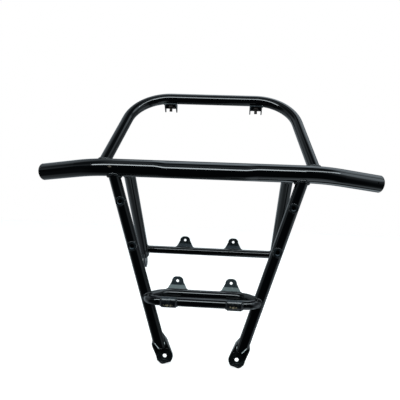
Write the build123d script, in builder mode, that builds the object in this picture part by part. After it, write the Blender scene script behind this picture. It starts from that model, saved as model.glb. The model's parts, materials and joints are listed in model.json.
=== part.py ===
from build123d import *
from math import atan2, cos, radians, sin, tan
import os

# Millimetres. The origin lies midway between the two foot bolt holes, on the face that meets
# the vehicle. +X is to the right, +Y to the rear and +Z up the legs' plane.

# Round steel tube, outside diameter and wall
bar_d, bar_wall = 38.1, 2.0
main_d, main_wall = 25.4, 2.0
thin_d, thin_wall = 19.05, 1.6

# Crossbar: straight in the middle, both ends swept back and down
bar_z = 406.0
bar_corner_x = 246.0
bar_sweep = 21.5
bar_droop = 15.5
bar_end_length = 135.5
bar_bend_r = 220.0
vent_d = 3.5
vent_inset = 13.0
vent_turn = 13.0

# Plug in each bar end
cap_lip = 4.0
cap_edge = 1.5
cap_spigot = 9.0

# Hoop over the crossbar, in a plane leaning to the rear
hoop_x = 230.0
hoop_lean = 42.5
hoop_taper = 10.5
hoop_height = 246.0
hoop_bend_r = 99.0

# Legs, closing in towards the feet
leg_x = 206.5
leg_foot_x = 80.05
leg_end = 25.0
leg_notch_top = 40.0
leg_notch_a = 2.0

# Stamped foot brackets: a dish with a wall up each side of the leg
foot_bolt_inset = 1.65
foot_bolt_d = 9.0
foot_sheet = 3.5
foot_clear = 0.1
foot_end_r = 17.8
foot_drop = 15.5
foot_corner = 6.0
foot_outer_top = 35.0
foot_outer_tip = 43.0
foot_inner_top = 34.0
foot_inner_tip = 52.0
foot_wall_height = 15.0
foot_rim_height = 3.0
foot_slope_low = 6.0
foot_slope_high = 28.0
foot_pad_r = 16.5
foot_pad = 2.0
foot_seat_r = 8.2
foot_seat = 1.5

# Threaded bosses on the legs, distances down the leg from the crossbar's axis
boss_d = 19.0
boss_proud = 2.5
boss_core_d = 8.5
boss_chamfer = 1.8
boss_upper = 76.0
boss_lower = 175.0

# Braces, running down to the rear, with a lug plate in each slotted end
brace_x = 171.0
brace_drop = 41.0
brace_length = 331.0
lug_plate = 5.0
lug_inset = 18.0
lug_reach = 37.0
lug_width = 28.0
lug_hole_d = 10.5

# Thin tube between the braces, distance back from their ends
rear_tube_inset = 25.0

# Ring of two thin tubes round the legs
ring_z = 130.5
ring_front = 36.0
ring_front_x = 116.0
ring_front_end = 4.0
ring_front_bend = 28.0
ring_rear = 48.0
ring_rear_x = 90.0
ring_rear_bend = 40.0

# Bent tabs standing on the thin tubes, heights above the tube's axis
tab_plate = 3.0
tab_foot_width = 46.0
tab_foot_height = 8.0
tab_bend_width = 34.0
tab_bend_height = 18.0
tab_setback = 8.0
tab_head_width = 26.0
tab_head_height = 26.0
tab_top = 36.8
tab_corner_r = 10.5
tab_hole_height = 27.0
tab_hole_d = 6.5
tab_overhang = 1.0
rear_tab_x = 63.0
lower_tab_x = 60.5

# Straps from over the ring's front tube to under its rear tube
strap_plate = 3.5
strap_width = 34.0
strap_chamfer = 2.5
strap_x = 68.0
strap_start = 35.0

# Folded clips below the hoop, each with a stud
clip_x = 104.2
clip_width = 30.0
clip_depth = 22.0
clip_sheet = 2.5
clip_ear = 19.0
clip_web = 10.0
clip_ear_tip = 5.0
clip_ear_shoulder = 6.0
stud_d = 7.0
stud_length = 18.5
stud_hex = 13.0
stud_hex_height = 5.5

# Derived places and directions
bar_r, main_r, thin_r = bar_d / 2, main_d / 2, thin_d / 2
sweep_angle, droop, splay = radians(bar_sweep), radians(bar_droop), atan2(leg_x - leg_foot_x, bar_z)
lean, taper, drop = radians(hoop_lean), radians(hoop_taper), radians(brace_drop)
frame_y = -(foot_sheet + main_r)
bar_centre = Vector(0, frame_y, bar_z)
bar_plane = Plane(bar_centre, x_dir=(1, 0, 0), z_dir=(0, sin(droop), cos(droop)))
hoop_plane = Plane(bar_centre, x_dir=(1, 0, 0), z_dir=(0, -cos(lean), sin(lean)))
ring_plane = Plane((0, frame_y, ring_z), x_dir=(1, 0, 0), z_dir=(0, 0, 1))
leg_down = Vector(-sin(splay), 0, -cos(splay))
leg_top = bar_centre + Vector(leg_x, 0, 0)
leg_length = bar_z / cos(splay)
foot_bolt_x = leg_foot_x - foot_bolt_inset
leg_ring_x = leg_x - (bar_z - ring_z) * tan(splay)
foot_plane = Plane((leg_foot_x, 0, 0), x_dir=(cos(splay), 0, -sin(splay)), z_dir=(0, -1, 0))
foot_side = Plane((leg_foot_x, 0, 0), x_dir=(0, -1, 0), z_dir=(-cos(splay), 0, sin(splay)))
brace_top = bar_centre + Vector(brace_x, 0, 0)
brace_run = Vector(0, cos(drop), -sin(drop))
brace_side = Plane(brace_top, x_dir=brace_run, z_dir=(-1, 0, 0))
rear_tube_centre = bar_centre + brace_run * (brace_length - rear_tube_inset)
hoop_top = hoop_plane.from_local_coords(Vector(0, hoop_height, 0))


def swept_tube(path, diameter, wall):
    """A round tube along a path; a wall of nothing gives a solid rod."""
    with BuildPart() as tube:
        with BuildSketch(Plane(path @ 0, z_dir=path % 0)):
            Circle(diameter / 2)
            if wall:
                Circle(diameter / 2 - wall, mode=Mode.SUBTRACT)
        sweep(path=path)
    return tube


def straight_tube(start, direction, length, diameter, wall):
    """A straight round tube from a point along a direction."""
    with BuildLine() as path:
        Line(start, start + direction * length)
    return swept_tube(path.line, diameter, wall)


def mirrored(piece):
    """The left-hand twin of a right-hand piece."""
    with BuildPart() as twin:
        mirror(piece.part, about=Plane.YZ)
    return twin


# Crossbar and its plugs
bar_end_x = bar_corner_x + bar_end_length * cos(sweep_angle)
bar_end_y = bar_end_length * sin(sweep_angle)
with BuildLine(bar_plane) as bar_path:
    FilletPolyline(
        (-bar_end_x, bar_end_y), (-bar_corner_x, 0), (bar_corner_x, 0), (bar_end_x, bar_end_y),
        radius=bar_bend_r,
    )
bar_rod = swept_tube(bar_path.line, bar_d, 0)
bar_tube = swept_tube(bar_path.line, bar_d, bar_wall)
bar_end_plane = Plane(bar_path.line @ 1, x_dir=-bar_plane.z_dir, z_dir=bar_path.line % 1)
vent_way = Vector(cos(radians(90 - vent_turn)), -sin(radians(90 - vent_turn)), 0)
vent_out = bar_end_plane.from_local_coords(vent_way * bar_r) - bar_end_plane.origin
vent_start = bar_end_plane.origin - bar_end_plane.z_dir * vent_inset + vent_out
vent_planes = [
    Plane(vent_start, z_dir=vent_out),
    Plane(Vector(-vent_start.X, vent_start.Y, vent_start.Z), z_dir=(-vent_out.X, vent_out.Y, vent_out.Z)),
]

with BuildPart() as crossbar:
    add(bar_tube.part)
    with Locations(*vent_planes):
        Hole(vent_d / 2, depth=bar_wall * 2)

with BuildPart() as end_cap_right:
    with BuildSketch(bar_end_plane):
        Circle(bar_r)
    extrude(amount=cap_lip)
    chamfer(
        end_cap_right.edges().sort_by(Axis(bar_end_plane.origin, bar_end_plane.z_dir))[-1],
        cap_edge,
    )
    with BuildSketch(bar_end_plane):
        Circle(bar_r - bar_wall)
    extrude(amount=-cap_spigot)
end_cap_left = mirrored(end_cap_right)

# Hoop
hoop_top_x = hoop_x - hoop_height * tan(taper)
with BuildLine(hoop_plane) as hoop_path:
    FilletPolyline(
        (-hoop_x, 0), (-hoop_top_x, hoop_height), (hoop_top_x, hoop_height), (hoop_x, 0),
        radius=hoop_bend_r,
    )
hoop_rod = swept_tube(hoop_path.line, main_d, 0)
hoop_tube = swept_tube(hoop_path.line, main_d, main_wall)
with BuildPart() as hoop:
    add(hoop_tube.part)
    add(bar_rod.part, mode=Mode.SUBTRACT)

# Legs, with a tapped boss pair each
leg_rod = straight_tube(leg_top, leg_down, leg_length, main_d, 0)
leg_rod_left = mirrored(leg_rod)
leg_tube = straight_tube(leg_top, leg_down, leg_length, main_d, main_wall)


def boss_plane(along):
    """The plane of a boss's mouth, a distance down the right leg."""
    centre = leg_top + leg_down * along
    return Plane(centre - Vector(0, main_r + boss_proud, 0), x_dir=(1, 0, 0), z_dir=(0, -1, 0))


def leg_boss(along):
    """A tapped boss that sits on the leg's front."""
    with BuildPart() as boss:
        with BuildSketch(boss_plane(along)):
            Circle(boss_d / 2)
        extrude(amount=-(main_r + boss_proud))
        add(leg_rod.part, mode=Mode.SUBTRACT)
        with Locations(boss_plane(along)):
            CounterSinkHole(boss_core_d / 2, boss_core_d / 2 + boss_chamfer, depth=main_r)
    return boss


with BuildPart() as leg_right:
    add(leg_tube.part)
    add(bar_rod.part, mode=Mode.SUBTRACT)
    with BuildSketch(foot_plane):
        with BuildLine():
            Polyline(
                (-main_d, leg_end), (leg_notch_a, leg_end - leg_notch_a), (main_r, leg_notch_top),
                (main_d, leg_notch_top), (main_d, -main_d), (-main_d, -main_d), close=True,
            )
        make_face()
    extrude(amount=main_d + foot_sheet, mode=Mode.SUBTRACT)
    for along in (boss_upper, boss_lower):
        with Locations(boss_plane(along)):
            Hole(boss_core_d / 2, depth=main_r + boss_proud)
leg_left = mirrored(leg_right)

leg_boss_upper_right = leg_boss(boss_upper)
leg_boss_lower_right = leg_boss(boss_lower)
leg_boss_upper_left = mirrored(leg_boss_upper_right)
leg_boss_lower_left = mirrored(leg_boss_lower_right)

# Foot brackets
foot_hole = foot_plane.to_local_coords(Vector(foot_bolt_x, 0, 0))
foot_outer = main_r + foot_clear + foot_sheet
with BuildSketch() as foot_outline:
    with BuildLine():
        Polyline(
            (foot_outer, foot_hole.Y - foot_corner), (foot_outer, foot_outer_top),
            (foot_outer - foot_sheet, foot_outer_tip), (foot_sheet - main_r, foot_inner_tip),
            (-foot_outer, foot_inner_top), (foot_hole.X - foot_end_r, foot_hole.Y),
            (foot_hole.X, foot_hole.Y), close=True,
        )
    make_face()
    with Locations((foot_hole.X, foot_hole.Y)):
        Circle(foot_end_r)
    with Locations((0, foot_hole.Y - foot_drop)):
        Rectangle(main_d * 2, main_d, align=(Align.CENTER, Align.MAX), mode=Mode.SUBTRACT)
with BuildSketch() as foot_pocket:
    offset(foot_outline.sketch, amount=-foot_sheet)
    with BuildLine():
        Polyline(
            (foot_outer - foot_sheet, foot_hole.Y), (foot_outer - foot_sheet, foot_inner_tip),
            (foot_sheet - foot_outer, foot_inner_tip),
            (foot_sheet - foot_outer, foot_inner_top), (foot_hole.X, foot_hole.Y),
            close=True,
        )
    make_face()

with BuildPart() as foot_bracket_right:
    with BuildSketch(foot_plane):
        add(foot_outline.sketch)
    extrude(amount=foot_sheet + foot_wall_height)
    with BuildSketch(foot_plane.offset(foot_sheet)):
        add(foot_pocket.sketch)
    extrude(amount=foot_wall_height, mode=Mode.SUBTRACT)
    with BuildSketch(foot_side):
        with BuildLine():
            Polyline(
                (foot_sheet + foot_rim_height, -foot_end_r * 2),
                (foot_sheet + foot_rim_height, foot_slope_low),
                (foot_sheet + foot_wall_height, foot_slope_high),
                (foot_sheet + foot_wall_height, foot_inner_top),
                (foot_sheet, foot_inner_tip), (main_d, foot_inner_tip), (main_d, -foot_end_r * 2),
                close=True,
            )
        make_face()
    extrude(amount=foot_outer * 2, both=True, mode=Mode.SUBTRACT)
    with BuildSketch(foot_plane.offset(foot_sheet)):
        with Locations((foot_hole.X, foot_hole.Y)):
            Circle(foot_pad_r)
        add(foot_outline.sketch, mode=Mode.INTERSECT)
    extrude(amount=foot_pad)
    with Locations(foot_plane.offset(foot_sheet + foot_pad)):
        with Locations((foot_hole.X, foot_hole.Y)):
            CounterBoreHole(foot_bolt_d / 2, foot_seat_r, foot_seat)
foot_bracket_left = mirrored(foot_bracket_right)

# Braces and their lugs
brace_rod = straight_tube(brace_top, brace_run, brace_length, main_d, 0)
brace_rod_left = mirrored(brace_rod)
brace_tube = straight_tube(brace_top, brace_run, brace_length, main_d, main_wall)
with BuildPart() as brace_lug_right:
    with BuildSketch(brace_side):
        with Locations((brace_length + lug_reach, 0)):
            Circle(lug_width / 2)
        with Locations((brace_length - lug_inset, 0)):
            Rectangle(lug_inset + lug_reach, lug_width, align=(Align.MIN, Align.CENTER))
        with Locations((brace_length + lug_reach, 0)):
            Circle(lug_hole_d / 2, mode=Mode.SUBTRACT)
    extrude(amount=lug_plate / 2, both=True)
with BuildPart() as brace_right:
    add(brace_tube.part)
    add(bar_rod.part, mode=Mode.SUBTRACT)
    add(brace_lug_right.part, mode=Mode.SUBTRACT)
brace_left = mirrored(brace_right)
brace_lug_left = mirrored(brace_lug_right)

# Thin tube between the braces
rear_tube_start = rear_tube_centre - Vector(brace_x, 0, 0)
rear_tube_run = brace_x * 2
rear_rod = straight_tube(rear_tube_start, Vector(1, 0, 0), rear_tube_run, thin_d, 0)
rear_tube = straight_tube(rear_tube_start, Vector(1, 0, 0), rear_tube_run, thin_d, thin_wall)
with BuildPart() as rear_cross_tube:
    add(rear_tube.part)
    add(brace_rod.part, mode=Mode.SUBTRACT)
    add(brace_rod_left.part, mode=Mode.SUBTRACT)

# Ring round the legs
with BuildLine(ring_plane) as ring_front_path:
    FilletPolyline(
        (-ring_front_x, -ring_front_end), (-ring_front_x, -ring_front),
        (ring_front_x, -ring_front), (ring_front_x, -ring_front_end),
        radius=ring_front_bend,
    )
with BuildLine(ring_plane) as ring_rear_path:
    FilletPolyline(
        (-leg_ring_x, 0), (-ring_rear_x, ring_rear), (ring_rear_x, ring_rear), (leg_ring_x, 0),
        radius=ring_rear_bend,
    )
ring_front_tube = swept_tube(ring_front_path.line, thin_d, thin_wall)
ring_rear_rod = swept_tube(ring_rear_path.line, thin_d, 0)
ring_rear_tube = swept_tube(ring_rear_path.line, thin_d, thin_wall)
with BuildPart() as lower_front_tube:
    add(ring_front_tube.part)
    add(leg_rod.part, mode=Mode.SUBTRACT)
    add(leg_rod_left.part, mode=Mode.SUBTRACT)
with BuildPart() as lower_rear_tube:
    add(ring_rear_tube.part)
    add(leg_rod.part, mode=Mode.SUBTRACT)
    add(leg_rod_left.part, mode=Mode.SUBTRACT)

# Straps round the front tube and under the rear one
strap_plane = Plane.YZ.offset(strap_x)
strap_front = (frame_y - ring_front, ring_z)
strap_bottom = ring_z - thin_r
with BuildPart() as saddle_plate_right:
    with BuildSketch(strap_plane):
        with BuildLine():
            inner = CenterArc(strap_front, thin_r, 90 + strap_start, 180 - strap_start)
            outer = CenterArc(strap_front, thin_r + strap_plate, 90 + strap_start, 180 - strap_start)
            Line(inner @ 0, outer @ 0)
            Polyline(
                inner @ 1, (frame_y + ring_rear, strap_bottom),
                (frame_y + ring_rear, strap_bottom - strap_plate), outer @ 1,
            )
        make_face()
    extrude(amount=strap_width / 2, both=True)
    chamfer(
        saddle_plate_right.edges().filter_by(
            lambda edge: edge.center().Y < frame_y - ring_front and abs(edge.center().X - strap_x) > thin_r
        ).group_by(Axis.Y)[0],
        strap_chamfer,
    )
saddle_plate_left = mirrored(saddle_plate_right)


def tab_outline():
    """The tab's front view, standing on the tube's axis."""
    half_foot, half_bend, half_head = tab_foot_width / 2, tab_bend_width / 2, tab_head_width / 2
    with BuildSketch() as outline:
        with BuildLine():
            Polyline(
                (-half_foot, 0), (-half_foot, tab_foot_height), (-half_bend, tab_bend_height),
                (-half_head, tab_head_height), (-half_head, tab_top), (half_head, tab_top),
                (half_head, tab_head_height), (half_bend, tab_bend_height),
                (half_foot, tab_foot_height), (half_foot, 0), close=True,
            )
        make_face()
        fillet(outline.vertices().group_by(Axis.Y)[-1], tab_corner_r)
        with Locations((0, tab_hole_height)):
            Circle(tab_hole_d / 2, mode=Mode.SUBTRACT)
    return outline.sketch


def bent_tab(x, centre, rod):
    """A tab on a thin tube: a sloping foot, an upright head and a hole."""
    side = Plane((x, centre.Y, centre.Z), x_dir=(0, 1, 0), z_dir=(1, 0, 0))
    front = Plane((x, centre.Y, centre.Z), x_dir=(1, 0, 0), z_dir=(0, -1, 0))
    outline = tab_outline()
    with BuildPart() as tab:
        with BuildSketch(side):
            with BuildLine():
                Polyline(
                    (-tab_overhang, tab_foot_height), (tab_setback, tab_bend_height),
                    (tab_setback, tab_top), (tab_setback + tab_plate, tab_top),
                    (tab_setback + tab_plate, tab_bend_height - tab_overhang),
                    (tab_plate, tab_foot_height - tab_plate), close=True,
                )
            make_face()
        extrude(amount=tab_foot_width, both=True)
        with BuildSketch(front):
            add(outline)
        extrude(amount=main_d, both=True, mode=Mode.INTERSECT)
        add(rod.part, mode=Mode.SUBTRACT)
    return tab


rear_tab_right = bent_tab(rear_tab_x, rear_tube_centre, rear_rod)
rear_tab_left = mirrored(rear_tab_right)
lower_tab_right = bent_tab(lower_tab_x, Vector(0, frame_y + ring_rear, ring_z), ring_rear_rod)
lower_tab_left = mirrored(lower_tab_right)

# Clips below the hoop's top
clip_plane = Plane((clip_x, hoop_top.Y, hoop_top.Z - main_r), x_dir=(1, 0, 0), z_dir=(0, 0, -1))
clip_side = Plane(clip_plane.origin, x_dir=(0, 1, 0), z_dir=(1, 0, 0))
with BuildPart() as hoop_clip_right:
    with BuildSketch(clip_side):
        with BuildLine():
            Polyline(
                (-clip_depth / 2, 0), (clip_depth / 2, 0), (clip_depth / 2, -clip_ear),
                (clip_depth / 2 - clip_ear_tip, -clip_ear), (-clip_depth / 2, -clip_ear_shoulder),
                close=True,
            )
        make_face()
    extrude(amount=clip_width / 2, both=True)
    with BuildSketch(clip_side):
        with Locations((-clip_sheet, -clip_sheet)):
            Rectangle(clip_depth, clip_ear, align=(Align.CENTER, Align.MAX))
        with Locations((0, -clip_web)):
            Rectangle(clip_depth, clip_ear, align=(Align.CENTER, Align.MAX))
    extrude(amount=clip_width / 2 - clip_sheet, both=True, mode=Mode.SUBTRACT)
    add(hoop_rod.part, mode=Mode.SUBTRACT)
hoop_clip_left = mirrored(hoop_clip_right)

with BuildPart() as clip_stud_right:
    with BuildSketch(clip_plane.offset(clip_sheet)):
        RegularPolygon(stud_hex / 2, side_count=6, major_radius=False)
    extrude(amount=stud_hex_height)
    with BuildSketch(clip_plane.offset(clip_sheet)):
        Circle(stud_d / 2)
    extrude(amount=stud_length - clip_sheet)
clip_stud_left = mirrored(clip_stud_right)

os.makedirs("parts", exist_ok=True)
crossbar.part.label = "crossbar"
export_step(crossbar.part, "parts/crossbar.step")
end_cap_left.part.label = "end_cap_left"
export_step(end_cap_left.part, "parts/end_cap_left.step")
end_cap_right.part.label = "end_cap_right"
export_step(end_cap_right.part, "parts/end_cap_right.step")
hoop.part.label = "hoop"
export_step(hoop.part, "parts/hoop.step")
leg_left.part.label = "leg_left"
export_step(leg_left.part, "parts/leg_left.step")
leg_right.part.label = "leg_right"
export_step(leg_right.part, "parts/leg_right.step")
leg_boss_upper_left.part.label = "leg_boss_upper_left"
export_step(leg_boss_upper_left.part, "parts/leg_boss_upper_left.step")
leg_boss_upper_right.part.label = "leg_boss_upper_right"
export_step(leg_boss_upper_right.part, "parts/leg_boss_upper_right.step")
leg_boss_lower_left.part.label = "leg_boss_lower_left"
export_step(leg_boss_lower_left.part, "parts/leg_boss_lower_left.step")
leg_boss_lower_right.part.label = "leg_boss_lower_right"
export_step(leg_boss_lower_right.part, "parts/leg_boss_lower_right.step")
foot_bracket_left.part.label = "foot_bracket_left"
export_step(foot_bracket_left.part, "parts/foot_bracket_left.step")
foot_bracket_right.part.label = "foot_bracket_right"
export_step(foot_bracket_right.part, "parts/foot_bracket_right.step")
brace_left.part.label = "brace_left"
export_step(brace_left.part, "parts/brace_left.step")
brace_right.part.label = "brace_right"
export_step(brace_right.part, "parts/brace_right.step")
brace_lug_left.part.label = "brace_lug_left"
export_step(brace_lug_left.part, "parts/brace_lug_left.step")
brace_lug_right.part.label = "brace_lug_right"
export_step(brace_lug_right.part, "parts/brace_lug_right.step")
rear_cross_tube.part.label = "rear_cross_tube"
export_step(rear_cross_tube.part, "parts/rear_cross_tube.step")
rear_tab_left.part.label = "rear_tab_left"
export_step(rear_tab_left.part, "parts/rear_tab_left.step")
rear_tab_right.part.label = "rear_tab_right"
export_step(rear_tab_right.part, "parts/rear_tab_right.step")
lower_front_tube.part.label = "lower_front_tube"
export_step(lower_front_tube.part, "parts/lower_front_tube.step")
lower_rear_tube.part.label = "lower_rear_tube"
export_step(lower_rear_tube.part, "parts/lower_rear_tube.step")
lower_tab_left.part.label = "lower_tab_left"
export_step(lower_tab_left.part, "parts/lower_tab_left.step")
lower_tab_right.part.label = "lower_tab_right"
export_step(lower_tab_right.part, "parts/lower_tab_right.step")
saddle_plate_left.part.label = "saddle_plate_left"
export_step(saddle_plate_left.part, "parts/saddle_plate_left.step")
saddle_plate_right.part.label = "saddle_plate_right"
export_step(saddle_plate_right.part, "parts/saddle_plate_right.step")
hoop_clip_left.part.label = "hoop_clip_left"
export_step(hoop_clip_left.part, "parts/hoop_clip_left.step")
hoop_clip_right.part.label = "hoop_clip_right"
export_step(hoop_clip_right.part, "parts/hoop_clip_right.step")
clip_stud_left.part.label = "clip_stud_left"
export_step(clip_stud_left.part, "parts/clip_stud_left.step")
clip_stud_right.part.label = "clip_stud_right"
export_step(clip_stud_right.part, "parts/clip_stud_right.step")
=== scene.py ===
import json
import math

import bmesh
import bpy
from mathutils import Matrix, Vector
from mathutils.bvhtree import BVHTree


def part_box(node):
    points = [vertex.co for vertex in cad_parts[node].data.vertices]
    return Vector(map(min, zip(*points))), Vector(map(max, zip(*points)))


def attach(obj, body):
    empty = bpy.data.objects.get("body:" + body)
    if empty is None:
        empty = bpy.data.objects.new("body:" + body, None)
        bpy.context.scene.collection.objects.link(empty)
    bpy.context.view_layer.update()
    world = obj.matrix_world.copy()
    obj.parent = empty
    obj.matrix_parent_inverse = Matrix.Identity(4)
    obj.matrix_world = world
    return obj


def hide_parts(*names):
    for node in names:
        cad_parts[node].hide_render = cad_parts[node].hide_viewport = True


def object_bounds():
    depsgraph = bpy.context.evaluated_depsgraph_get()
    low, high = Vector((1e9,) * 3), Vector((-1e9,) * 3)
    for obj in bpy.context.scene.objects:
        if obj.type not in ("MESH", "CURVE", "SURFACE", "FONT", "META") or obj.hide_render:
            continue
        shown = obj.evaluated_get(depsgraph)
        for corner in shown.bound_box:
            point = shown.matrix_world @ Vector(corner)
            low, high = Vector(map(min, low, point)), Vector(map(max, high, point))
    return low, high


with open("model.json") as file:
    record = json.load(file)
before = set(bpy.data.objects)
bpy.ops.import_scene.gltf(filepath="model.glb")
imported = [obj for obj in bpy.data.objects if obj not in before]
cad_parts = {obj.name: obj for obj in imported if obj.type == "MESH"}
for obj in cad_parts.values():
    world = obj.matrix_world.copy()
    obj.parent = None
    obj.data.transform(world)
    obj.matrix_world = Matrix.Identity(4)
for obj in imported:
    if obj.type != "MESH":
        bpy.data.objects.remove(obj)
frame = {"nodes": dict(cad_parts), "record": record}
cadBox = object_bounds()
scene = bpy.context.scene
scene.view_settings.view_transform = "Standard"
nodes = frame["nodes"]
mm = 0.001
sides = {"left": -1, "right": 1}


# Camera: where it stands in metres, and its turns from looking straight at the bumper's front
cameraView = {
    "place": (0.05144, -1.08364, 0.36091),
    "pitchDeg": -0.9593,
    "yawDeg": -3.4842,
    "rollDeg": 2.2825,
    "lensMm": 45.0,
    "sensorMm": 36.0,
}


def placeCamera(settings):
    pitch, yaw, roll = (math.radians(settings[k]) for k in ("pitchDeg", "yawDeg", "rollDeg"))
    turn = Matrix.Rotation(roll, 3, "Y") @ Matrix.Rotation(yaw, 3, "Z") @ Matrix.Rotation(-pitch, 3, "X")
    right, ahead, up = turn[0], turn[1], turn[2]
    data = bpy.data.cameras.new("photoCamera")
    data.lens = settings["lensMm"]
    data.sensor_width = settings["sensorMm"]
    camera = bpy.data.objects.new("photoCamera", data)
    place = Matrix((right, up, -ahead)).transposed().to_4x4()
    place.translation = Vector(settings["place"])
    camera.matrix_world = place
    scene.collection.objects.link(camera)
    scene.camera = camera


placeCamera(cameraView)
print("camera placed")


# An sRGB hex colour as the linear values that shaders take
def linearColour(hexText):
    parts = [int(hexText[i:i + 2], 16) / 255 for i in (1, 3, 5)]
    return [p / 12.92 if p <= 0.04045 else ((p + 0.055) / 1.055) ** 2.4 for p in parts] + [1.0]


# A node with its settings, which are sockets or plain properties, and what feeds its sockets
def addNode(tree, kind, settings=None, links=None):
    node = tree.nodes.new(kind)
    for key, value in (settings or {}).items():
        if isinstance(key, int) or key in node.inputs:
            node.inputs[key].default_value = value
        else:
            setattr(node, key, value)
    for key, source in (links or {}).items():
        tree.links.new(source, node.inputs[key])
    return node


def newMaterial(name):
    material = bpy.data.materials.new(name)
    material.use_nodes = True
    material.node_tree.nodes.clear()
    return material, material.node_tree


# Powder coat, sprayed and baked on steel: a wet-looking black film that draws sharp light lines along each
# tube, slightly wavy with the tube under it, with the fine orange peel and dust film of a used part.
# Chips are x, y, z and radius in millimetres; sagDeg leans the coat's normals along sagSpan.
glossBlack = {
    "colour": "#010203", "dust": "#0E1113", "dustShare": 0.06, "topSheen": 0.0, "chips": (), "sagDeg": 0.0,
    "roughness": 0.055, "smudge": 0.05, "smudgeMm": 38.0,
    "waveMm": 46.0, "waveHeightMm": 0.22, "peelMm": 2.4, "peelHeightMm": 0.0004,
}
satinBlack = {  # the same coat on plates: rubbed duller, with a painted highlight on what faces up
    **glossBlack,
    "colour": "#1D2326", "dust": "#454E52", "dustShare": 0.5, "topSheen": 0.22, "topSheenColour": "#59636A",
    "roughness": 0.2, "smudge": 0.14, "smudgeMm": 9.0,
    "waveMm": 11.0, "waveHeightMm": 0.05, "peelMm": 2.0, "peelHeightMm": 0.003,
}
coatLooks = {
    "glossBlackPowderCoat": glossBlack,
    "crossbarPowderCoat": {
        **glossBlack, "sagDeg": 8.5, "chipColour": "#4E463A",
        "chips": ((-206.8, -35.0, 407.6, 2.6), (-210.5, -35.0, 407.0, 1.6)),
    },
    "powderCoatedPlate": satinBlack,
    "powderCoatedSaddle": {
        **satinBlack, "colour": "#07090B", "dust": "#20272A", "chipColour": "#968A6E",
        "chips": ((-70.5, -63.5, 123.5, 3.4), (-63.0, -63.2, 123.5, 2.8), (-77.0, -64.0, 124.5, 1.8),
                  (66.0, -64.3, 126.0, 3.2), (60.5, -64.6, 127.0, 2.0), (72.0, -64.3, 126.0, 2.4)),
    },
    # bosses: their tops painted paler, a painted highlight along the upper rim
    "powderCoatedBoss": {
        **satinBlack, "colour": "#0C0F11", "dust": "#262D30", "roughness": 0.14, "topSheen": 0.5,
    },
    "powderCoatedFoot": {**satinBlack, "colour": "#080A0B", "dust": "#1F2527", "topSheen": 0.1},
    # tabs: faces turned up painted pale, a painted highlight, over patchy dust
    "tabCoatDustAndSheen": {**satinBlack, "colour": "#262D30", "topSheen": 0.46, "topSheenColour": "#879290"},
    "coatedWeldBead": {
        **glossBlack,
        "colour": "#06080A", "dust": "#22282A", "dustShare": 0.4,
        "roughness": 0.15, "smudge": 0.1, "smudgeMm": 6.0,
        "waveMm": 5.0, "waveHeightMm": 0.04, "peelMm": 1.2, "peelHeightMm": 0.004,
    },
    # clip welds: grey with patchy dust, and faces turned up painted paler, a painted highlight
    "clipWeldDustAndSheen": {**satinBlack, "colour": "#4A5452", "dust": "#6E7A75", "smudgeMm": 4.0},
    # pale coat for the lines on the feet, which are painted highlights
    "paintedHighlightEdge": {**satinBlack, "colour": "#C3CCCA", "dust": "#DDE3E1", "smudgeMm": 3.0},
}
coatNoise = {  # the noise values between which smudges and dust come up, and how fine the noises are
    "smudgeFrom": 0.42, "smudgeFull": 0.72, "dustFrom": 0.42, "dustFull": 0.7,
    "detail": 5.0, "breakUp": 0.62, "reliefDetail": 1.0,
}
sheenFacing = {"from": 0.42, "full": 0.62}  # upward part of a normal at which the painted highlight starts, and is full
chipEdge = {"raggedPerMetre": 420.0, "detail": 3.0, "shiftMm": 9, "solidShare": 0.6, "roughness": 0.7}
coatIor = 1.5
sagSpan = ((-0.118, -0.088), (0.08, 0.11))  # metres along X, where the crossbar's sheen drops and rises again
barMiddle = sum(corner[2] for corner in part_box("crossbar")) / 2  # height of the crossbar's axis


# Bare, browned spots where the coating has chipped off, ragged by noise
def chipMask(tree, at, chips):
    uneven = addNode(tree, "ShaderNodeTexNoise",
                     {"Scale": chipEdge["raggedPerMetre"], "Detail": chipEdge["detail"]}, {"Vector": at})
    centred = addNode(tree, "ShaderNodeVectorMath", {"operation": "SUBTRACT", 1: (0.5, 0.5, 0.5)},
                      {0: uneven.outputs["Color"]})
    shift = addNode(tree, "ShaderNodeVectorMath", {"operation": "SCALE", "Scale": chipEdge["shiftMm"] * mm},
                    {0: centred.outputs[0]})
    ragged = addNode(tree, "ShaderNodeVectorMath", {"operation": "ADD"}, {0: at, 1: shift.outputs[0]})
    mask = None
    for x, y, z, radius in chips:
        away = addNode(tree, "ShaderNodeVectorMath", {"operation": "DISTANCE", 1: (x * mm, y * mm, z * mm)},
                       {0: ragged.outputs[0]})
        near = addNode(tree, "ShaderNodeMapRange",
                       {"From Min": radius * mm, "From Max": chipEdge["solidShare"] * radius * mm},
                       {"Value": away.outputs["Value"]}).outputs["Result"]
        if mask is None:
            mask = near
        else:
            mask = addNode(tree, "ShaderNodeMath", {"operation": "MAXIMUM"}, {0: mask, 1: near}).outputs[0]
    return mask


# A slight lean of the shading normals between two stretches of X, so the sheen line sags there
def sagBump(tree, at, degrees, before):
    split = addNode(tree, "ShaderNodeSeparateXYZ", None, {0: at})
    (riseStart, riseEnd), (fallStart, fallEnd) = sagSpan
    rise = addNode(tree, "ShaderNodeMapRange",
                   {"interpolation_type": "SMOOTHSTEP", "From Min": riseStart, "From Max": riseEnd},
                   {"Value": split.outputs["X"]})
    fall = addNode(tree, "ShaderNodeMapRange",
                   {"interpolation_type": "SMOOTHSTEP", "From Min": fallEnd, "From Max": fallStart},
                   {"Value": split.outputs["X"]})
    span = addNode(tree, "ShaderNodeMath", {"operation": "MULTIPLY"},
                   {0: rise.outputs["Result"], 1: fall.outputs["Result"]})
    above = addNode(tree, "ShaderNodeMath", {"operation": "SUBTRACT", 1: barMiddle}, {0: split.outputs["Z"]})
    height = addNode(tree, "ShaderNodeMath", {"operation": "MULTIPLY"},
                     {0: above.outputs[0], 1: span.outputs[0]})
    return addNode(tree, "ShaderNodeBump",
                   {"Strength": 1.0, "Distance": math.tan(math.radians(degrees)), "invert": True},
                   {"Height": height.outputs[0], "Normal": before})


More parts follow.
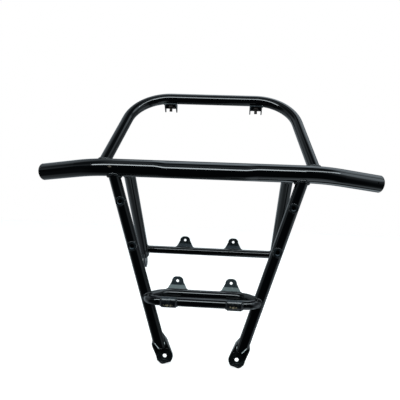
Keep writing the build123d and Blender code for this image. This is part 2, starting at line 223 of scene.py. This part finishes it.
# The film's own relief: slow waves, orange peel and, on the crossbar, the sag
def coatNormal(tree, at, look):
    wave, peel = (
        addNode(tree, "ShaderNodeTexNoise", {"Scale": 1000 / look[size], "Detail": coatNoise["reliefDetail"]},
                {"Vector": at})
        for size in ("waveMm", "peelMm")
    )
    slow = addNode(tree, "ShaderNodeBump", {"Strength": 1.0, "Distance": look["waveHeightMm"] * mm},
                   {"Height": wave.outputs["Fac"]})
    bump = addNode(tree, "ShaderNodeBump", {"Strength": 1.0, "Distance": look["peelHeightMm"] * mm},
                   {"Height": peel.outputs["Fac"], "Normal": slow.outputs["Normal"]})
    if look["sagDeg"]:
        bump = sagBump(tree, at, look["sagDeg"], bump.outputs["Normal"])
    return bump.outputs["Normal"]


# Painted highlight: faces turned up drawn paler, standing for light falling on them from above
def paintedTopSheen(tree, normal, look, colour):
    facing = addNode(tree, "ShaderNodeSeparateXYZ", None, {0: normal})
    sheenAmount = addNode(tree, "ShaderNodeMapRange",
                    {"From Min": sheenFacing["from"], "From Max": sheenFacing["full"],
                     "To Max": look["topSheen"]}, {"Value": facing.outputs["Z"]})
    return addNode(tree, "ShaderNodeMix", {"data_type": "RGBA", 7: linearColour(look["topSheenColour"])},
                   {0: sheenAmount.outputs["Result"], 6: colour}).outputs[2]


def powderCoat(name, look):
    material, tree = newMaterial(name)
    coords = addNode(tree, "ShaderNodeTexCoord")
    at = coords.outputs["Object"]
    normal = coatNormal(tree, at, look)
    smudge = addNode(tree, "ShaderNodeTexNoise",
                     {"Scale": 1000 / look["smudgeMm"], "Detail": coatNoise["detail"],
                      "Roughness": coatNoise["breakUp"]}, {"Vector": at})
    rough = addNode(tree, "ShaderNodeMapRange",
                    {"From Min": coatNoise["smudgeFrom"], "From Max": coatNoise["smudgeFull"],
                     "To Min": look["roughness"], "To Max": look["roughness"] + look["smudge"]},
                    {"Value": smudge.outputs["Fac"]}).outputs["Result"]
    dusty = addNode(tree, "ShaderNodeMapRange",
                    {"From Min": coatNoise["dustFrom"], "From Max": coatNoise["dustFull"],
                     "To Max": look["dustShare"]}, {"Value": smudge.outputs["Fac"]})
    colour = addNode(tree, "ShaderNodeMix",
                     {"data_type": "RGBA", 6: linearColour(look["colour"]), 7: linearColour(look["dust"])},
                     {0: dusty.outputs["Result"]}).outputs[2]
    # painted highlight: faces turned up get a paler colour
    if look["topSheen"]:
        colour = paintedTopSheen(tree, coords.outputs["Normal"], look, colour)
    if look["chips"]:
        bare = chipMask(tree, at, look["chips"])
        colour = addNode(tree, "ShaderNodeMix", {"data_type": "RGBA", 7: linearColour(look["chipColour"])},
                         {0: bare, 6: colour}).outputs[2]
        rough = addNode(tree, "ShaderNodeMix", {"data_type": "FLOAT", 3: chipEdge["roughness"]},
                        {0: bare, 2: rough}).outputs[0]
    body = addNode(tree, "ShaderNodeBsdfPrincipled", {"IOR": coatIor},
                   {"Base Color": colour, "Roughness": rough, "Normal": normal})
    addNode(tree, "ShaderNodeOutputMaterial", None, {"Surface": body.outputs["BSDF"]})
    return material


coats = {name: powderCoat(name, look) for name, look in coatLooks.items()}


# Moulded polypropylene of the bar plugs: satin black, with the fine grain that a spark-eroded mould leaves,
# drawn coarser than the real 0.2 mm so that it can show
plugLook = {
    "colour": "#0B0B0C", "roughness": 0.32, "grainMm": 0.9, "grainHeightMm": 0.02, "detail": 2.0, "ior": 1.46,
}


def mouldedPlastic(name, look):
    material, tree = newMaterial(name)
    coords = addNode(tree, "ShaderNodeTexCoord")
    grain = addNode(tree, "ShaderNodeTexNoise", {"Scale": 1000 / look["grainMm"], "Detail": look["detail"]},
                    {"Vector": coords.outputs["Object"]})
    bump = addNode(tree, "ShaderNodeBump", {"Strength": 1.0, "Distance": look["grainHeightMm"] * mm},
                   {"Height": grain.outputs["Fac"]})
    body = addNode(tree, "ShaderNodeBsdfPrincipled",
                   {"Base Color": linearColour(look["colour"]), "Roughness": look["roughness"],
                    "IOR": look["ior"]}, {"Normal": bump.outputs["Normal"]})
    addNode(tree, "ShaderNodeOutputMaterial", None, {"Surface": body.outputs["BSDF"]})
    return material


# Zinc-plated steel gone brown: dull metal where the plating holds, matt rust where it does not
studLook = {
    "zinc": "#2C2A28", "rust": "#1C130D", "rustFrom": 0.41, "rustFull": 0.51, "zincRoughness": 0.38,
    "rustRoughness": 0.85, "patchMm": 3.0, "detail": 6.0, "breakUp": 0.65, "pitHeightMm": 0.05,
}


def rustedZinc(name, look):
    material, tree = newMaterial(name)
    coords = addNode(tree, "ShaderNodeTexCoord")
    patch = addNode(tree, "ShaderNodeTexNoise",
                    {"Scale": 1000 / look["patchMm"], "Detail": look["detail"], "Roughness": look["breakUp"]},
                    {"Vector": coords.outputs["Object"]})
    rusted = addNode(tree, "ShaderNodeMapRange", {"From Min": look["rustFrom"], "From Max": look["rustFull"]},
                     {"Value": patch.outputs["Fac"]})
    colour = addNode(tree, "ShaderNodeMix",
                     {"data_type": "RGBA", 6: linearColour(look["zinc"]), 7: linearColour(look["rust"])},
                     {0: rusted.outputs["Result"]})
    metal = addNode(tree, "ShaderNodeMath", {"operation": "SUBTRACT", 0: 1.0}, {1: rusted.outputs["Result"]})
    rough = addNode(tree, "ShaderNodeMapRange",
                    {"To Min": look["zincRoughness"], "To Max": look["rustRoughness"]},
                    {"Value": rusted.outputs["Result"]})
    bump = addNode(tree, "ShaderNodeBump", {"Strength": 1.0, "Distance": look["pitHeightMm"] * mm},
                   {"Height": patch.outputs["Fac"]})
    body = addNode(tree, "ShaderNodeBsdfPrincipled", None,
                   {"Base Color": colour.outputs[2], "Metallic": metal.outputs[0],
                    "Roughness": rough.outputs["Result"], "Normal": bump.outputs["Normal"]})
    addNode(tree, "ShaderNodeOutputMaterial", None, {"Surface": body.outputs["BSDF"]})
    return material


finishes = {
    "tube_coating": coats["glossBlackPowderCoat"],
    "bracket_coating": coats["powderCoatedPlate"],
    "bar_plug": mouldedPlastic("mouldedPlugPlastic", plugLook),
    "stud_steel": rustedZinc("rustedZincPlatedSteel", studLook),
}
slotOf = {part["node"]: part["material_slot"] for part in frame["record"]["subparts"]}
ownCoats = {  # a coat of their own for nodes whose names start with these words
    "crossbar": "crossbarPowderCoat",
    "leg_boss": "powderCoatedBoss",
    "foot_bracket": "powderCoatedFoot",
    "saddle_plate": "powderCoatedSaddle",
    "lower_tab": "tabCoatDustAndSheen",
}


# A node's material: its own coat, else the finish of its slot in the record
def finishOf(nodeName):
    own = [coats[coat] for start, coat in ownCoats.items() if nodeName.startswith(start)]
    return own[0] if own else finishes[slotOf[nodeName]]


for name, node in nodes.items():
    node.data.materials.clear()
    node.data.materials.append(finishOf(name))
print("materials set")


# Plates and small parts with their edges broken by these widths, as the coating rounds them
softEdges = {
    "foot_bracket": 0.9 * mm,
    "rear_tab": 0.55 * mm,
    "lower_tab": 0.55 * mm,
    "brace_lug": 0.8 * mm,
    "saddle_plate": 0.7 * mm,
    "hoop_clip": 0.45 * mm,
    "leg_boss_upper": 0.6 * mm,
    "leg_boss_lower": 0.6 * mm,
    "end_cap": 0.5 * mm,
}
edgeRounding = {"mergeWithin": 0.002 * mm, "flatDeg": 0.6, "sharpDeg": 32, "segments": 2}


# The CAD's loose triangles, joined where their corners meet
def mergedCopy(mesh):
    work = bmesh.new()
    work.from_mesh(mesh)
    bmesh.ops.remove_doubles(work, verts=work.verts, dist=edgeRounding["mergeWithin"])
    return work


# The piece gets its mesh as the modifiers leave it, and loses the modifiers
def applyModifiers(piece):
    plain = piece.data
    shaped = piece.evaluated_get(bpy.context.evaluated_depsgraph_get())
    piece.data = bpy.data.meshes.new_from_object(shaped)
    piece.modifiers.clear()
    bpy.data.meshes.remove(plain)


# A copy of a node with its edges rounded, which stands for the node
def softened(nodeName, width):
    work = mergedCopy(nodes[nodeName].data)
    flat = math.radians(edgeRounding["flatDeg"])
    bmesh.ops.dissolve_limit(work, angle_limit=flat, verts=work.verts, edges=work.edges)
    mesh = bpy.data.meshes.new(nodeName + "_coated")
    work.to_mesh(mesh)
    work.free()
    if "custom_normal" in mesh.attributes:
        mesh.attributes.remove(mesh.attributes["custom_normal"])
    mesh.shade_smooth()
    mesh.materials.clear()
    mesh.materials.append(finishOf(nodeName))
    piece = bpy.data.objects.new(nodeName + "_coated", mesh)
    scene.collection.objects.link(piece)
    bevel = piece.modifiers.new("edges", "BEVEL")
    bevel.width = width
    bevel.segments = edgeRounding["segments"]
    bevel.limit_method = "ANGLE"
    bevel.angle_limit = math.radians(edgeRounding["sharpDeg"])
    bevel.harden_normals = True
    applyModifiers(piece)
    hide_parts(nodeName)
    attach(piece, "root")


for kind, width in softEdges.items():
    for side in sides:
        softened(f"{kind}_{side}", width)
print("edges softened")


# Weld beads: rippled runs along every seam, coated over together with the tubes, and pale lines on the feet
# that are painted highlights. A seam names two nodes that meet; runsMm are runs given for the right foot.
weldBeads = {
    "legWelds": {
        "Width": 7.6 * mm, "Ripple": 2.4 * mm, "Ripple Depth": 0.2, "Wander": 0.9 * mm, "Seed": 3,
        "seams": [("leg", "crossbar")], "coat": "coatedWeldBead",
    },
    "mainTubeWelds": {
        "Width": 5.4 * mm, "Ripple": 2.3 * mm, "Ripple Depth": 0.2, "Wander": 0.9 * mm, "Seed": 7,
        "seams": [("hoop", "crossbar"), ("brace", "crossbar")], "coat": "coatedWeldBead",
    },
    "thinTubeWelds": {
        "Width": 4.4 * mm, "Ripple": 2.0 * mm, "Ripple Depth": 0.2, "Wander": 0.8 * mm, "Seed": 11,
        "seams": [("rear_cross_tube", "brace"), ("lower_front_tube", "leg"), ("lower_rear_tube", "leg")],
        "coat": "coatedWeldBead",
    },
    "plateWelds": {
        "Width": 3.2 * mm, "Ripple": 1.7 * mm, "Ripple Depth": 0.2, "Wander": 0.6 * mm, "Seed": 23,
        "seams": [
            ("rear_tab", "rear_cross_tube"), ("lower_tab", "lower_rear_tube"), ("leg_boss_upper", "leg"),
            ("leg_boss_lower", "leg"), ("saddle_plate", "lower_front_tube"), ("brace", "brace_lug"),
        ],
        "coat": "coatedWeldBead",
    },
    "clipWelds": {
        "Width": 4.6 * mm, "Ripple": 2.1 * mm, "Ripple Depth": 0.22, "Wander": 0.7 * mm, "Seed": 31,
        "seams": [("hoop_clip", "hoop")], "coat": "clipWeldDustAndSheen", "spread": 1.16,
    },
    "footEdges": {
        "Width": 1.6 * mm, "Ripple": 3.0 * mm, "Ripple Depth": 0.08, "Wander": 0.5 * mm, "Seed": 43,
        "seams": [], "coat": "paintedHighlightEdge",
        "runsMm": [
            [(98.2, -26.4, 33.0), (93.4, -28.3, 27.9), (88.3, -28.9, 22.8)],
            [(78.0, -22.3, 34.5), (77.6, -22.0, 32.5), (77.2, -21.4, 30.5)],
        ],
    },
}
seamReach = 0.3 * mm  # how near two nodes lie where they count as meeting
padRim = {  # the painted highlight round each foot's hole: its middle, radius and how far it turns from the top either way
    "holeXMm": 78.4, "frontMm": -3.9, "radiusMm": 17.5, "outDeg": 40, "inDeg": 96, "steps": 24,
}
beadShape = {  # how a bead swells and drifts along its run
    "stepsPerRipple": 5.0, "thinnest": 0.78, "thickest": 1.3, "swellPerMetre": 140.0, "driftPerMetre": 260.0,
    "ringPoints": 10,
}


# Lists of points along the rim where one node meets another: faces of the first that lie on the second are
# held, and the seam is the edge between held and free faces
def seamPaths(piece, against):
    other = nodes[against].data
    tree = BVHTree.FromPolygons([v.co for v in other.vertices], [p.vertices for p in other.polygons])
    work = mergedCopy(nodes[piece].data)
    close = {v for v in work.verts if tree.find_nearest(v.co, seamReach)[0] is not None}
    held = {f for f in work.faces if all(v in close for v in f.verts)
            and tree.find_nearest(f.calc_center_median(), seamReach * 2)[0] is not None}
    rim = {e for e in work.edges if len(e.link_faces) == 2 and sum(f in held for f in e.link_faces) == 1}
    paths = []
    while rim:
        group = set()
        fresh = {min(rim, key=lambda e: e.index)}
        while fresh:
            group |= fresh
            fresh = {n for e in fresh for v in e.verts for n in v.link_edges if n in rim} - group
        rim -= group
        paths += outerRuns(group, held)
    work.free()
    return paths


# Of a rim's edges, those whose free face looks outwards, put in order as runs; a tube's inner rim drops out
def outerRuns(edges, held):
    ends = [v.co for e in edges for v in e.verts]
    centre = sum(ends, Vector()) / len(ends)
    links = {}
    for e in edges:
        free = next(f for f in e.link_faces if f not in held)
        if ((e.verts[0].co + e.verts[1].co) / 2 - centre).dot(free.normal) > 0:
            for a, b in (e.verts, reversed(e.verts)):
                links.setdefault(a, []).append(b)
    runs = []
    left = set(links)
    while left:
        here = min(left, key=lambda v: (len(links[v]), v.index))
        run = [here]
        left.discard(here)
        while ahead := sorted((v for v in links[here] if v in left), key=lambda v: v.index):
            here = ahead[0]
            left.discard(here)
            run.append(here)
        if len(run) > 2 and run[0] in links[run[-1]]:
            run.append(run[0])
        runs.append([v.co.copy() for v in run])
    return runs


# A bead's radius along its run: it swells and thins at random, and steps down across each ripple
def beadRadius(tree, given, shape):
    along = addNode(tree, "GeometryNodeSplineParameter")
    count = addNode(tree, "ShaderNodeMath", {"operation": "DIVIDE"},
                    {0: along.outputs["Length"], 1: given["Ripple"]})
    part = addNode(tree, "ShaderNodeMath", {"operation": "FRACT"}, {0: count.outputs[0]})
    fall = addNode(tree, "ShaderNodeMath", {"operation": "MULTIPLY"},
                   {0: part.outputs[0], 1: given["Ripple Depth"]})
    uneven = addNode(tree, "ShaderNodeTexNoise",
                     {"noise_dimensions": "4D", "Scale": shape["swellPerMetre"], "Detail": 1.0},
                     {"W": given["Seed"]})
    swell = addNode(tree, "ShaderNodeMapRange", {"To Min": shape["thinnest"], "To Max": shape["thickest"]},
                    {"Value": uneven.outputs["Fac"]})
    full = addNode(tree, "ShaderNodeMath", {"operation": "SUBTRACT"},
                   {0: swell.outputs["Result"], 1: fall.outputs[0]})
    half = addNode(tree, "ShaderNodeMath", {"operation": "MULTIPLY", 1: 0.5}, {0: given["Width"]})
    return addNode(tree, "ShaderNodeMath", {"operation": "MULTIPLY"},
                   {0: full.outputs[0], 1: half.outputs[0]}).outputs[0]


def weldTree(shape):
    tree = bpy.data.node_groups.new("weldBead", "GeometryNodeTree")
    tree.interface.new_socket("Geometry", in_out="INPUT", socket_type="NodeSocketGeometry")
    for name in ("Width", "Ripple", "Ripple Depth", "Wander", "Seed"):
        tree.interface.new_socket(name, in_out="INPUT", socket_type="NodeSocketFloat")
    tree.interface.new_socket("Material", in_out="INPUT", socket_type="NodeSocketMaterial")
    tree.interface.new_socket("Geometry", in_out="OUTPUT", socket_type="NodeSocketGeometry")
    given = addNode(tree, "NodeGroupInput").outputs
    seam = addNode(tree, "GeometryNodeMeshToCurve", None, {"Mesh": given["Geometry"]})
    step = addNode(tree, "ShaderNodeMath", {"operation": "DIVIDE", 1: shape["stepsPerRipple"]},
                   {0: given["Ripple"]})
    even = addNode(tree, "GeometryNodeResampleCurve", {"mode": "LENGTH"},
                   {"Curve": seam.outputs[0], "Length": step.outputs[0]})
    drift = addNode(tree, "ShaderNodeTexNoise",
                    {"noise_dimensions": "4D", "Scale": shape["driftPerMetre"], "Detail": 0.0},
                    {"W": given["Seed"]})
    centred = addNode(tree, "ShaderNodeVectorMath", {"operation": "SUBTRACT", 1: (0.5, 0.5, 0.5)},
                      {0: drift.outputs["Color"]})
    offset = addNode(tree, "ShaderNodeVectorMath", {"operation": "SCALE"},
                     {0: centred.outputs[0], "Scale": given["Wander"]})
    moved = addNode(tree, "GeometryNodeSetPosition", None,
                    {"Geometry": even.outputs[0], "Offset": offset.outputs[0]})
    ring = addNode(tree, "GeometryNodeCurvePrimitiveCircle",
                   {"Resolution": shape["ringPoints"], "Radius": 1.0})
    bead = addNode(tree, "GeometryNodeCurveToMesh", {"Fill Caps": True},
                   {"Curve": moved.outputs[0], "Profile Curve": ring.outputs[0],
                    "Scale": beadRadius(tree, given, shape)})
    smooth = addNode(tree, "GeometryNodeSetShadeSmooth", None, {0: bead.outputs[0]})
    real = addNode(tree, "GeometryNodeRealizeInstances", None, {0: smooth.outputs[0]})
    coated = addNode(tree, "GeometryNodeSetMaterial", None,
                     {0: real.outputs[0], "Material": given["Material"]})
    addNode(tree, "NodeGroupOutput", None, {0: coated.outputs[0]})
    return tree


# A piece whose mesh a geometry tree grows from a plain one, with the values of the tree's inputs
def grown(name, tree, mesh, values):
    piece = bpy.data.objects.new(name, mesh)
    scene.collection.objects.link(piece)
    modifier = piece.modifiers.new(name, "NODES")
    modifier.node_group = tree
    for socket in tree.interface.items_tree:
        if socket.in_out == "INPUT" and socket.name in values:
            modifier[socket.identifier] = values[socket.name]
    applyModifiers(piece)
    return piece


# The node pairs a seam stands for: once for each side, or the middle piece against each side
def sidedNames(first, second):
    pairs = []
    for side in sides:
        named = [n if n in nodes else f"{n}_{side}" for n in (first, second)]
        if tuple(named) not in pairs:
            pairs.append(tuple(named))
    return pairs


# The runs as one mesh of bare edges, closed where a run ends on its own start
def pathMesh(name, paths):
    mesh = bpy.data.meshes.new(name)
    points = []
    edges = []
    for path in paths:
        closed = path[0] == path[-1]
        kept = path[:-1] if closed else path
        start = len(points)
        points += kept
        edges += [(start + i, start + i + 1) for i in range(len(kept) - 1)]
        if closed:
            edges.append((start + len(kept) - 1, start))
    mesh.from_pydata(points, edges, [])
    return mesh


# The path drawn longer across the bumper than its seam, where the bead runs past the plate's ends
def spreadPath(path, share):
    middle = sum(point.x for point in path) / len(path)
    return [Vector((middle + (point.x - middle) * share, point.y, point.z)) for point in path]


# A painted highlight's arc round the right foot's hole, from its outer side over the top to its inner side
def rimRun(rim):
    stepDeg = (rim["outDeg"] + rim["inDeg"]) / rim["steps"]
    run = []
    for k in range(rim["steps"] + 1):
        turn = math.radians(rim["outDeg"] - k * stepDeg)
        x = rim["holeXMm"] + rim["radiusMm"] * math.sin(turn)
        run.append((x, rim["frontMm"], rim["radiusMm"] * math.cos(turn)))
    return run


# A run given for the right foot, laid on both
def onBothSides(run):
    return [[Vector((side * x, y, z)) * mm for x, y, z in run] for side in sides.values()]


weldBeads["footEdges"]["runsMm"].append(rimRun(padRim))
beadTree = weldTree(beadShape)
for name, settings in weldBeads.items():
    pairs = [pair for seam in settings["seams"] for pair in sidedNames(*seam)]
    paths = [path for pair in pairs for path in seamPaths(*pair)]
    paths += [path for run in settings.get("runsMm", []) for path in onBothSides(run)]
    paths = [spreadPath(path, settings.get("spread", 1.0)) for path in paths if len(path) > 2]
    values = {**settings, "Material": coats[settings["coat"]]}
    welds = grown(name, beadTree, pathMesh(name, paths), values)
    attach(welds, "root")
    print(name, len(paths), "runs", len(welds.data.polygons), "faces")
print("welds laid")


# Studio: white paper under the feet, which takes the bumper's shadow and is hidden from mirrored and
# bounced light, and a white world that the coat sees as cards of different brightness
studio = {
    "floorHalf": 4.0, "floorDrop": 0.0005, "floorColour": "#F4F0EB", "floorGlow": 0.5,
    "cardTint": (0.86, 1.0, 1.09), "openLevel": 0.38,
}

# Cards: azimuth of the middle from straight ahead of the camera towards its right, its elevation, the angles
# from the middle within which the card is full and by which it is gone, and how bright it is
cards = {
    "paperBelow": (0, -90, 22, 45, 0.22),
    "blackBehindCamera": (180, -25, 50, 72, 0.02),
    "blackLowLeft": (-112, -28, 14, 30, 0.05),
    "blackLeft": (-124, 2, 12, 21, 0.03),
    "greyLowRight": (55, 6, 25, 46, 0.26),
    "whiteOverhead": (23, 66, 15, 28, 2.0),
    "whiteRight": (57, 51, 14, 25, 1.5),
    "paleLeft": (-76, 42, 14, 28, 0.66),
    "paleLeftAhead": (-38, 8, 14, 30, 0.7),
    "paleLowLeft": (-66, -22, 10, 24, 0.58),
    "blackHighLeft": (-116, 47, 14, 25, 0.08),
    "blackHighRight": (112, 68, 10, 20, 0.05),
    "whiteRearRight": (111, 37, 8, 17, 2.2),
    "blackZenith": (150, 86, 8, 16, 0.06),
    "paleFloorRight": (78, -22, 10, 24, 0.8),
    "whiteFloorAhead": (25, -56, 6, 16, 1.8),
    "paleFloorSide": (80, -62, 8, 18, 0.8),
    "paleFloorBack": (145, -62, 8, 18, 0.8),
    "whiteFloorRight": (110, -75, 9, 18, 1.4),
    "blackFloorAhead": (52, -67, 8, 14, 0.08),
}


# One for rays from the camera and through clear things, else nothing
def seenDirectly(tree):
    path = addNode(tree, "ShaderNodeLightPath")
    either = addNode(tree, "ShaderNodeMath", {"operation": "MAXIMUM"},
                     {0: path.outputs["Is Camera Ray"], 1: path.outputs["Is Transmission Ray"]})
    return either.outputs["Value"]


def makeFloor(settings):
    mesh = bpy.data.meshes.new("floor")
    half = settings["floorHalf"]
    low = cadBox[0][2] - settings["floorDrop"]
    corners = [(-half, -half, low), (half, -half, low), (half, half, low), (-half, half, low)]
    mesh.from_pydata(corners, [], [(0, 1, 2, 3)])
    floor = bpy.data.objects.new("floor", mesh)
    scene.collection.objects.link(floor)
    material, tree = newMaterial("whitePaperFloor")
    paper = addNode(tree, "ShaderNodeBsdfDiffuse", {"Color": linearColour(settings["floorColour"])})
    glow = addNode(tree, "ShaderNodeEmission", {"Strength": settings["floorGlow"]})
    lit = addNode(tree, "ShaderNodeAddShader", None, {0: paper.outputs[0], 1: glow.outputs[0]})
    unseen = addNode(tree, "ShaderNodeBsdfTransparent")
    mix = addNode(tree, "ShaderNodeMixShader", None,
                  {0: seenDirectly(tree), 1: unseen.outputs[0], 2: lit.outputs[0]})
    addNode(tree, "ShaderNodeOutputMaterial", None, {"Surface": mix.outputs[0]})
    mesh.materials.append(material)


# The direction in which a card's middle lies
def skyWay(azimuth, elevation):
    across = math.radians(azimuth)
    up = math.radians(elevation)
    return Vector((math.sin(across) * math.cos(up), math.cos(across) * math.cos(up), math.sin(up)))


def makeWorld(settings, cards):
    world = bpy.data.worlds.new("studio")
    scene.world = world
    world.use_nodes = True
    tree = world.node_tree
    tree.nodes.clear()
    coords = addNode(tree, "ShaderNodeTexCoord")
    level = addNode(tree, "ShaderNodeValue").outputs[0]
    level.default_value = settings["openLevel"]
    for azimuth, elevation, full, gone, bright in cards.values():
        near = addNode(tree, "ShaderNodeVectorMath",
                       {"operation": "DOT_PRODUCT", 1: skyWay(azimuth, elevation)},
                       {0: coords.outputs["Generated"]})
        share = addNode(tree, "ShaderNodeMapRange",
                        {"interpolation_type": "SMOOTHSTEP", "From Min": math.cos(math.radians(gone)),
                         "From Max": math.cos(math.radians(full))}, {"Value": near.outputs["Value"]})
        level = addNode(tree, "ShaderNodeMix", {"data_type": "FLOAT", 3: bright},
                        {0: share.outputs["Result"], 2: level}).outputs[0]
    lit = addNode(tree, "ShaderNodeBackground", {"Color": (*settings["cardTint"], 1)}, {"Strength": level})
    white = addNode(tree, "ShaderNodeBackground", {"Color": (1, 1, 1, 1), "Strength": 1.0})
    mix = addNode(tree, "ShaderNodeMixShader", None,
                  {0: seenDirectly(tree), 1: lit.outputs[0], 2: white.outputs[0]})
    addNode(tree, "ShaderNodeOutputWorld", None, {"Surface": mix.outputs[0]})


# Lamps: centre, what they point at, width and height in metres, how far they are turned about that line,
# and how bright their face is
lamps = {
    "stripLamp": {
        "centre": (-0.5, -1.6, 1.51), "target": (-0.5, 0, 0.45), "size": (2.2, 0.37),
        "turnDeg": 4, "radiance": 13.5,
    },
    "risingLamp": {
        "centre": (1.6, -1.6, 2.26), "target": (1.6, 0, 0.45), "size": (2.12, 0.36),
        "turnDeg": 22, "radiance": 11.5,
    },
}
lampTint = (0.86, 0.96, 1.0)


def makeLamps(lamps):
    for name, settings in lamps.items():
        width, height = settings["size"]
        data = bpy.data.lights.new(name, "AREA")
        data.shape = "RECTANGLE"
        data.size = width
        data.size_y = height
        data.color = lampTint
        data.energy = settings["radiance"] * math.pi * width * height
        lamp = bpy.data.objects.new(name, data)
        lamp.location = settings["centre"]
        aim = (Vector(settings["target"]) - lamp.location).to_track_quat("-Z", "Y").to_matrix()
        turn = Matrix.Rotation(math.radians(settings["turnDeg"]), 3, "Z")
        lamp.rotation_euler = (aim @ turn).to_euler()
        lamp.visible_camera = False
        scene.collection.objects.link(lamp)


makeFloor(studio)
makeWorld(studio, cards)
makeLamps(lamps)
print("studio made")
